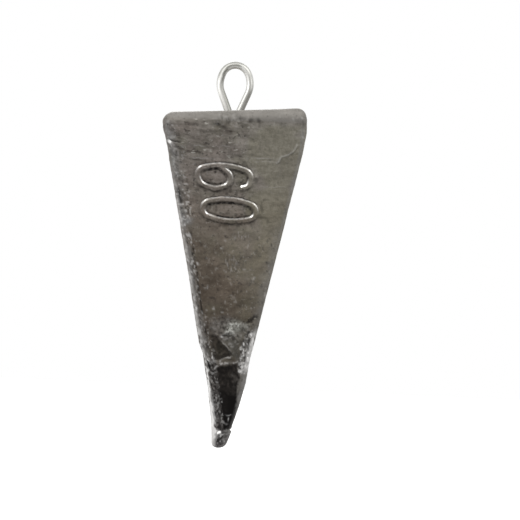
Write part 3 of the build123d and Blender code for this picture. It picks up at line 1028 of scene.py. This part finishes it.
# %% Casting skin
sides = step_up(depth, 0.0, 1.5) * (1 - 0.6 * step_up(depth, 33, 39))
waves = 0.055 * lumps(5.0, 41) + 0.022 * lumps(1.7, 42) + 0.018 * lumps(0.45, 44)
wrinkles = lumps((2.4, 2.4, 0.75), 43) + 0.5 * lumps((1.3, 1.3, 0.4), 47)
upper = step_down(depth, 5.5, 8.0) * (1 - 0.85 * step_up(face_x, 0.5, 3.5))
height += (waves + (0.02 + 0.08 * upper) * wrinkles) * sides
mark(upper * sides, rippled=1.0)
mark(step_up(lumps(0.55, 45), 0.6, 0.9) * sides * (1 - crest), -0.03, dark=0.3)
print("rippled points", covered("rippled"))

# %% Drifts of tone
below_band = step_up(depth, 1.2, 2.2)
hue = 0.8 * lumps(2.6, 61) + 0.5 * lumps(1.1, 62)
warmth = 1.1 * step_up(face_x, -2.0, 4.0) - 0.5 + hue
mark(step_up(warmth, -0.2, 0.7) * below_band, olive=1.0)
mark(step_up(-warmth, -0.2, 0.7) * below_band, plum=1.0)
mark(step_up(face_x, 0.8, 3.0) * step_down(depth, 13, 18) * below_band * front, calm=1.0)
mark(step_up(face_x, 2.5, 7.0) * step_down(depth, 11, 16) * below_band * front, dark=0.08)
across_share = face_x / half_swollen + 0.1 * hue
lower_face = between(depth, 12.5, 15, 23.5, 26.5) * front
# The lower face is painted darker on its left and lighter on its right.
mark(lower_face * step_up(-face_x / half_swollen + 0.1 * hue, -0.1, 0.6), dark=0.2)
lighter_right = step_up(across_share - 0.4 * step_up(depth, 20, 22.5), -0.25, 0.4)
mark(lower_face * lighter_right * (1 - crest), bare=0.035)
print("olive points", covered("olive"), "plum points", covered("plum"))

# %% Pour face
LEG_X = 0.83
SUNK, RIPPLE, DRAWN_UP = 0.35, 0.03, 0.28

from_axis = np.linalg.norm(skin[..., :2], axis=-1)
on_top = (ring_depth <= 0)[:, None] * step_down(from_axis, 5.5, 8.0)
height -= SUNK * on_top * (1 - (from_axis / 8) ** 2)
height += RIPPLE * on_top * np.sin(from_axis * 4.2 + 1.5 * lumps(2.0, 46)) * step_up(from_axis, 1.5, 3)
for leg in (-LEG_X, LEG_X):
    to_leg = np.hypot(face_x + AXIS_X - leg, skin[..., 1])
    height += DRAWN_UP * bell(to_leg, 0.45, 0.28) * on_top
print("heights from", height.min().round(2), "to", height.max().round(2), "mm")

# %% [markdown]
# The net becomes a mesh: quads between the rings, and a fan at each end to close it. Blender could
# unwrap it, but rings and columns already make a map: one sheet with the rings as rows, so that
# the finish can be baked without seams in the middle of a face.

# %% A closed tube
SHEET_MARGIN, SHEET_TIP = 0.02, 0.005


def on_sheet(*corners):
    """The places of faces on the map, corner by corner, each given by its two coordinates."""
    return np.stack([np.stack(np.broadcast_arrays(*corner), -1) for corner in corners], -2).ravel()


def closed_tube(name, rows, first, last, tracks):
    """A closed mesh from rows of points and two end points, with point values for the finish."""
    count, width = rows.shape[:2]
    here = np.arange(width)
    there = (here + 1) % width
    row = np.arange(count - 1)[:, None]
    this, below = row * width, (row + 1) * width
    end = (count - 1) * width
    top_point, end_point = np.full(width, count * width), np.full(width, count * width + 1)
    quads = np.stack((this + here, below + here, below + there, this + there), -1).reshape(-1, 4)
    top_fan = np.stack((top_point, here, there), -1)
    end_fan = np.stack((end_point, end + there, end + here), -1)
    mesh = bpy.data.meshes.new(name)
    points = np.concatenate((rows.reshape(-1, 3), [first, last])) * MM
    mesh.from_pydata(points.tolist(), [], quads.tolist() + top_fan.tolist() + end_fan.tolist())
    mesh.polygons.foreach_set("use_smooth", np.ones(len(mesh.polygons), bool))

    run = added_up(steps_of(rows).mean(axis=1) + 1e-6)
    v = SHEET_MARGIN + (1 - 2 * SHEET_MARGIN) * run / run[-1]
    u, u_mid, u_next = here / width, (here + 0.5) / width, (here + 1) / width
    v_this, v_below = v[row], v[row + 1]
    sheet = mesh.uv_layers.new(name="OFBake")
    sheet.data.foreach_set("uv", np.concatenate((
        on_sheet((u, v_this), (u, v_below), (u_next, v_below), (u_next, v_this)),
        on_sheet((u_mid, SHEET_TIP), (u, v[0]), (u_next, v[0])),
        on_sheet((u_mid, 1 - SHEET_TIP), (u_next, v[-1]), (u, v[-1])),
    )))
    for track, values in tracks.items():
        kind, field = ("FLOAT", "value") if values.ndim == 2 else ("FLOAT_VECTOR", "vector")
        ends = np.reshape([values[0].mean(axis=0), values[-1].mean(axis=0)], (2, -1))
        data = np.concatenate((values.reshape(count * width, -1), ends)).ravel()
        mesh.attributes.new(track, kind, "POINT").data.foreach_set(field, data)
    mesh.update()
    return in_scene(name, mesh)


print("map margin", SHEET_MARGIN)

# %% Skin mesh
surface = skin + normal * height[..., None] + np.array((AXIS_X, 0, 0))
tip_point = np.array((AXIS_X + BEND[-1][1], 0.0, POUR_Z - NUB_END))
lead = closed_tube("lead_skin", surface, surface[0].mean(axis=0), tip_point, maps)
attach(lead, "root")
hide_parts("lead_body")
print("lead skin", len(lead.data.polygons), "faces")

# %% [markdown]
# The eye is one length of round wire, bent to a pear shape and hooked out at both ends inside the
# lead so that it cannot pull out. A bevelled curve would make such a wire, but the finish needs to
# know the place along and around it. So the path is the CAD's, made with the same moves as the
# numerals, and a round section is carried along it as a second closed tube. The hidden legs are
# part of the wire, so they are here.

# %% Wire path
EYE_RADIUS, EYE_TURN = 1.7, 60
SHOULDER_RADIUS = 3.0
LEG_ANGLE, LEG_SPACING, LEG_BEND = 22.5, 1.1, 2.0
LEG_END_Z = POUR_Z - 9.0
TAIL_RADIUS, TAIL_TURN, TAIL_RUN = 1.6, 50, 2.0
WIRE_STEP = 0.2


def from_crown(moves):
    """The points of the wire's right half along some moves, from the top of the eye."""
    return walk((0, EYE_RADIUS), 0, moves, WIRE_STEP)[0]


leg_radians = math.radians(LEG_ANGLE)
shoulder = [arc(EYE_RADIUS, -EYE_TURN), arc(SHOULDER_RADIUS, EYE_TURN - 90 - LEG_ANGLE)]
run_in = from_crown(shoulder)[-1][0] - LEG_SPACING / 2 - LEG_BEND * (1 - math.cos(leg_radians))
slanted = shoulder + [(run_in / math.sin(leg_radians), 0), arc(LEG_BEND, LEG_ANGLE)]
leg_run = from_crown(slanted)[-1][1] - LEG_END_Z
half_wire = from_crown(slanted + [(leg_run, 0), arc(TAIL_RADIUS, TAIL_TURN), (TAIL_RUN, 0)])
line = np.concatenate((half_wire[:0:-1] * (-1, 1), half_wire))
along = added_up(steps_of(line))
print("wire", round(float(along[-1]), 1), "mm long")

# %% Wire tube
WIRE_RADIUS, WIRE_WAVE = 0.45, 0.012
WIRE_STEPS = 32

ahead = np.gradient(line, axis=0)
ahead /= np.linalg.norm(ahead, axis=1, keepdims=True)
out = np.column_stack((-ahead[:, 1], ahead[:, 0]))[:, None]
angles = np.linspace(0, 2 * np.pi, WIRE_STEPS, endpoint=False) + np.pi / 2
wave = WIRE_WAVE * cloud(np.column_stack((along, along * 0, along * 0)), 1.4, 51)
radius = WIRE_RADIUS + wave[:, None]
rows = np.empty((len(line), WIRE_STEPS, 3))
rows[..., 0] = line[:, None, 0] + radius * np.cos(angles) * out[..., 0]
rows[..., 1] = radius * np.sin(angles)
rows[..., 2] = line[:, None, 1] + radius * np.cos(angles) * out[..., 1]
lay = np.stack(np.broadcast_arrays(np.cos(angles), np.sin(angles), along[:, None]), axis=-1)
print("wire points", rows.shape[0] * rows.shape[1])

# %% [markdown]
# The tin on the wire is a little dull all over, and shade is painted onto it by which way it faces.
# It is darker where it faces up, against the lamps' gloss, and where it faces right, and lighter
# where it faces down. There are dark bands over the top, along the inside of the left shoulder and
# on the outside of the right leg. Between them run painted highlights, bright lines along the wire.
# A noise would put such bands anywhere, so they are placed by their distance from the top of the eye
# and by how far round the wire they lie, and go to the finish as one more point value.

# %% Tarnish and painted shade on the wire
# Each stripe is its distance from the top, half its length, its place across, its width and its strength
SHADE_BANDS = (
    (-2.6, 1.1, -0.5, 0.45, 0.95), (-1.7, 0.8, -0.25, 0.5, 1.0), (-0.8, 0.8, 0.1, 0.5, 1.0),
    (0.1, 0.9, 0.05, 0.42, 1.0), (1.2, 0.9, 0.25, 0.17, 0.85), (3.4, 0.8, 0.05, 0.14, 0.8),
    (-3.6, 0.9, -0.05, 0.13, 0.7), (4.8, 1.7, 0.45, 0.5, 0.86), (-1.6, 1.4, 0.62, 0.5, 0.88),
    (0.9, 1.7, 0.75, 0.32, 0.7),
)
HIGHLIGHT_BANDS = (
    (2.8, 1.3, -0.6, 0.4, 0.22), (2.8, 1.4, 0.95, 0.25, 0.25), (-5.2, 1.6, 0.8, 0.35, 0.36),
    (3.3, 0.8, 0.38, 0.16, 0.4), (3.2, 1.2, -0.4, 0.2, 0.2),
)
EVEN_TARNISH = 0.41

from_top = along[:, None] - along[-1] / 2
outward = np.broadcast_to(np.cos(angles), lay.shape[:2])
facing_x = outward * out[..., 0]
facing_z = outward * out[..., 1]


def stripe(run, length, side_of, width):
    """1 on a stripe along the wire, falling to 0 at its ends and its sides."""
    return bell(from_top, run, length, power=4) * bell(outward, side_of, width)


level_part = step_down(np.abs(facing_z), 0.3, 0.8)
upright = step_up(np.abs(out[..., 0]), 0.8, 0.95)
# A painted highlight: lighter tin down the left leg, where it faces left towards a lamp.
highlight_core = level_part * upright * bell(facing_x, -0.4, 0.18)
on_left = step_down(line[:, None, 0], -1.4, 0.2)
over_top = bell(from_top, 0, 2.0, power=4)
shaded = step_up(facing_x + 0.45 - 0.35 * on_left, 0, 0.4) * (1 - 0.35 * step_up(facing_x, 0.5, 0.9))
# Painted shade: darker where the wire faces up or to the right, lighter where it faces down.
tarnish = EVEN_TARNISH + 0.43 * step_up(facing_z, 0.0, 0.7) - 0.36 * step_up(-facing_z, 0.15, 0.7)
tarnish += 0.38 * level_part * shaded * (1 - over_top) - 0.36 * highlight_core * on_left
# Painted shade: dark bands along the wire.
for *where, strength in SHADE_BANDS:
    tarnish = np.maximum(tarnish, strength * stripe(*where))
# Painted highlights: lighter bands along the wire.
for *where, strength in HIGHLIGHT_BANDS:
    tarnish = tarnish - strength * stripe(*where)
tarnish = np.clip(tarnish, 0, 1)
print("tarnish", tarnish.mean().round(2), "on average")

# %% Wire mesh
wire_ends = [np.array((place[0], 0, place[1])) for place in (line[0], line[-1])]
wire = closed_tube("eye_wire", rows, *wire_ends, {"lay": lay, "tarnish": tarnish})
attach(wire, "root")
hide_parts("wire_eye")
print("wire", len(wire.data.polygons), "faces")

# %% [markdown]
# Both metals share one kind of small-scale unevenness: tone that drifts in patches, dark specks in
# the hollows and light flecks on the rubbed grains. Each finish could have its own noises, but one
# node group with its own sizes is built once, and each finish takes what it needs from it.

# %% Metal grain group
NOISE_ROUGHNESS = 0.6
GROUP_INPUTS = {"Place": "NodeSocketVector", "Patch Scale": "NodeSocketFloat",
                "Grain Scale": "NodeSocketFloat"}
GROUP_SCALES = {"Patch Scale": 0.25, "Grain Scale": 2.5}
# Each output is a scale, a multiple of it, a detail, and the noise levels that become 0 and 1
GROUP_OUTPUTS = {
    "Patch": ("Patch Scale", 1.0, 3.0, 0.35, 0.65), "Grain": ("Grain Scale", 1.0, 2.0, 0.3, 0.7),
    "Specks": ("Grain Scale", 0.7, 2.0, 0.38, 0.3), "Flecks": ("Grain Scale", 0.83, 2.0, 0.62, 0.7),
    "Height": ("Grain Scale", 1.0, 2.0, 0.0, 1.0),
}

metal_grain = bpy.data.node_groups.new("metal_grain", "ShaderNodeTree")
for name, kind in GROUP_INPUTS.items():
    socket = metal_grain.interface.new_socket(name, in_out="INPUT", socket_type=kind)
    if name in GROUP_SCALES:
        socket.default_value = GROUP_SCALES[name]
for name in GROUP_OUTPUTS:
    metal_grain.interface.new_socket(name, in_out="OUTPUT", socket_type="NodeSocketFloat")
group_in = add_node(metal_grain, "NodeGroupInput").outputs
group_out = add_node(metal_grain, "NodeGroupOutput").inputs
for name, (scale, factor, detail, low, high) in GROUP_OUTPUTS.items():
    size = add_node(metal_grain, "ShaderNodeMath", operation="MULTIPLY")
    feed(size.inputs[0], group_in[scale])
    feed(size.inputs[1], factor)
    noise = add_node(metal_grain, "ShaderNodeTexNoise", detail=detail, roughness=NOISE_ROUGHNESS)
    feed(noise.inputs["Vector"], group_in["Place"])
    feed(noise.inputs["Scale"], size.outputs[0])
    spread = add_node(metal_grain, "ShaderNodeMapRange", from_min=low, from_max=high)
    feed(spread.inputs["Value"], noise.outputs["Fac"])
    feed(group_out[name], spread.outputs["Result"])
print("group", metal_grain.name, [item.name for item in metal_grain.interface.items_tree])

# %% [markdown]
# Old lead is a dull warm grey, browner towards the tip, with olive and reddish drifts, and it is
# painted darker towards the tip, partly as shade of the light from above.
# Rubbed edges go lighter and bluer, hollows collect dark oxide, and where the metal is freshly
# bared it is bright. One ramp over one noise would look like paint, so the colour is built up in
# that order, one layer over another, each by its own map. The roughness and the share of bare metal
# follow the same maps.

# %% Layers of colour and value
def mix_colour(below, share, colour, blend="MIX"):
    """One layer of colour over another, by a share from 0 to 1."""
    layer = add_node(below.id_data, "ShaderNodeMix", data_type="RGBA", blend_type=blend)
    feed(layer.inputs["Factor"], share)
    feed(layer.inputs[6], below)
    feed(layer.inputs[7], (*colour, 1))
    return layer.outputs[2]


def mix_value(below, share, value):
    """One number over another, by a share from 0 to 1."""
    layer = add_node(share.id_data, "ShaderNodeMix", data_type="FLOAT")
    feed(layer.inputs["Factor"], share)
    feed(layer.inputs[2], below)
    feed(layer.inputs[3], value)
    return layer.outputs[0]


def stretched(place, factors):
    """A place with each of its coordinates multiplied."""
    product = add_node(place.id_data, "ShaderNodeVectorMath", operation="MULTIPLY")
    feed(product.inputs[0], place)
    feed(product.inputs[1], factors)
    return product.outputs[0]


def grain_at(place, **scales):
    """The outputs of the grain group at a place, with its own scales."""
    group = add_node(place.id_data, "ShaderNodeGroup", node_tree=metal_grain, **scales)
    feed(group.inputs["Place"], place)
    return group.outputs


def ramp(share, stops):
    """Colours that follow a share from 0 to 1, from a table of stops and colours."""
    node = add_node(share.id_data, "ShaderNodeValToRGB")
    feed(node.inputs["Fac"], share)
    elements = node.color_ramp.elements
    elements[0].color = (*stops[0][1], 1)
    elements[1].color = (*stops[-1][1], 1)
    for stop, colour in stops[1:-1]:
        elements.new(stop).color = (*colour, 1)
    return node.outputs["Color"]


print("layers and ramps are ready")

# %% Lead: places and tone by depth
LEAD_PLAIN = {"Specular IOR Level": 0.05}
LEVEL_GRAIN = (0.45, 0.45, 1.0)
TONE_DEPTH = 42
# From the tip up to the pour face; the darker stops low down are partly painted shade
LEAD_TONE = ((0.0, (0.075, 0.068, 0.065)), (0.3, (0.07, 0.061, 0.049)), (0.45, (0.089, 0.075, 0.058)),
             (0.6, (0.12, 0.104, 0.082)), (0.8, (0.153, 0.141, 0.125)), (1.0, (0.158, 0.147, 0.131)))

tree, metal = new_finish(lead, "old_cast_lead", LEAD_PLAIN)
in_mm = stretched(add_node(tree, "ShaderNodeTexCoord").outputs["Object"], (1 / MM, 1 / MM, 1 / MM))
grains = grain_at(in_mm, patch_scale=0.16, grain_scale=2.7)
drift = grain_at(stretched(in_mm, LEVEL_GRAIN), patch_scale=0.8, grain_scale=2.5)
sparkle = grain_at(in_mm, grain_scale=5.5)
track = {name: add_node(tree, "ShaderNodeAttribute", attribute_name=name).outputs["Fac"] for name in maps}
split = add_node(tree, "ShaderNodeSeparateXYZ")
feed(split.inputs[0], in_mm)
run_up = add_node(tree, "ShaderNodeMapRange", from_min=POUR_Z - TONE_DEPTH, from_max=POUR_Z)
feed(run_up.inputs["Value"], split.outputs["Z"])
colour = ramp(run_up.outputs["Result"], LEAD_TONE)
print("lead tone", len(LEAD_TONE), "stops")

# %% Lead: layers of colour
OLIVE, PLUM, PALE, DEEP = (0.98, 1.0, 0.86), (1.0, 0.93, 0.94), (1.8, 1.8, 1.82), (0.48, 0.46, 0.44)

patches = mix_value(0.75, track["calm"], 0.5)
streaks = scaled(drift["Grain"], scaled(track["rippled"], 0.5))
for share, shade in (
    (scaled(track["olive"], 0.6), OLIVE),
    (scaled(track["plum"], 0.6), PLUM),
    (scaled(grains["Grain"], 0.42), PALE),
    (scaled(drift["Patch"], patches), DEEP),
    (streaks, DEEP),
):
    colour = mix_colour(colour, share, shade, "MULTIPLY")

dabs = mix_value(0.12, track["rippled"], 0.8)
specks = mix_value(0.6, track["calm"], 0.15)
flecks = mix_value(0.24, track["calm"], 0.08)
for share, shade in (
    (scaled(drift["Specks"], dabs), (0.05, 0.043, 0.037)),
    (scaled(drift["Flecks"], dabs), (0.27, 0.26, 0.235)),
    (scaled(track["dull"], 0.6), (0.171, 0.164, 0.153)),
    (scaled(track["edge"], mix_value(0.6, sparkle["Grain"], 1.0)), (0.2, 0.199, 0.197)),
    (scaled(grains["Specks"], specks), (0.03, 0.027, 0.025)),
    (scaled(grains["Flecks"], flecks), (0.3, 0.29, 0.27)),
    (scaled(track["frost"], mix_value(0.25, sparkle["Grain"], 1.0)), (0.32, 0.325, 0.298)),
    (scaled(track["dark"], mix_value(0.88, grains["Grain"], 1.0)), (0.007, 0.006, 0.0055)),
    (track["black"], (0.004, 0.0034, 0.0032)),
    (track["bare"], (0.62, 0.61, 0.6)),
    (track["polish"], (0.95, 0.94, 0.92)),
):
    colour = mix_colour(colour, share, shade)
feed(metal.inputs["Base Color"], colour)
print("lead colour", len(tree.nodes), "nodes so far")

# %% Lead: shine, bare metal and fine bump
LEAD_SHINE = (("frost", 0.8), ("dark", 0.28), ("bare", 0.3), ("rubbed", 0.36), ("dull", 0.7))
LEAD_METAL = (("bare", 0.8), ("polish", 0.9))

shine = mix_value(0.58, scaled(grains["Grain"], 0.6), 0.42)
for name, value in LEAD_SHINE:
    shine = mix_value(shine, track[name], value)
feed(metal.inputs["Roughness"], shine)
bare_metal = mix_value(0.3, track["rubbed"], 0.34)
for name, value in LEAD_METAL:
    bare_metal = mix_value(bare_metal, track[name], value)
feed(metal.inputs["Metallic"], bare_metal)


def add_bump(shader, fine_height, distance, strength):
    """A fine bump on a shader, its depth given in metres."""
    bump = add_node(shader.id_data, "ShaderNodeBump", distance=distance, strength=strength)
    feed(bump.inputs["Height"], fine_height)
    feed(shader.inputs["Normal"], bump.outputs["Normal"])


add_bump(metal, scaled(grains["Height"], mix_value(1.0, track["rubbed"], 0.5)), 0.12 * MM, 0.35)
print("lead finish", len(tree.nodes), "nodes")

# %% [markdown]
# The wire is tinned steel, drawn through a die: bright, with fine lines along its length, grey
# patches where the tin is thin, and darker bands of tarnish and painted shade. An anisotropic gloss
# would only hint at the lines, so they come from noise that is stretched along the wire. It is read
# from the point values that the tube carries: two for the place around it, one for the length.

# %% Wire finish
WIRE_PLAIN = {"Metallic": 1.0}
ALONG_WIRE = (1.0, 1.0, 0.06)
BRIGHT_TIN = ((0.0, (0.78, 0.775, 0.75)), (1.0, (0.92, 0.92, 0.9)))
THIN_TIN, DULL_AND_SHADED_TIN = (0.5, 0.49, 0.46), (0.14, 0.138, 0.122)

tree, metal = new_finish(wire, "tinned_drawn_wire", WIRE_PLAIN)
lay_read = add_node(tree, "ShaderNodeAttribute", attribute_name="lay").outputs["Vector"]
tarnish_and_shade_share = add_node(tree, "ShaderNodeAttribute", attribute_name="tarnish").outputs["Fac"]
grains = grain_at(stretched(lay_read, ALONG_WIRE), patch_scale=0.9, grain_scale=3.5)
colour = mix_colour(ramp(grains["Grain"], BRIGHT_TIN), scaled(grains["Patch"], 0.2), THIN_TIN)
# The dull tin colour lays on tarnish and painted shade by its share; painted highlights are where that share
# is low.
feed(metal.inputs["Base Color"], mix_colour(colour, tarnish_and_shade_share, DULL_AND_SHADED_TIN))
feed(metal.inputs["Roughness"], mix_value(0.55, grains["Grain"], 0.65))
add_bump(metal, grains["Height"], 0.04 * MM, 0.1)
print("wire finish", len(tree.nodes), "nodes")

# %% [markdown]
# Last, the size: the CAD's box and the dressed part's box are both printed.

# %% Both boxes
size = {"cad": cad_box, "visual": [list(corner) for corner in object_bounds()]}
print("boxes", size)
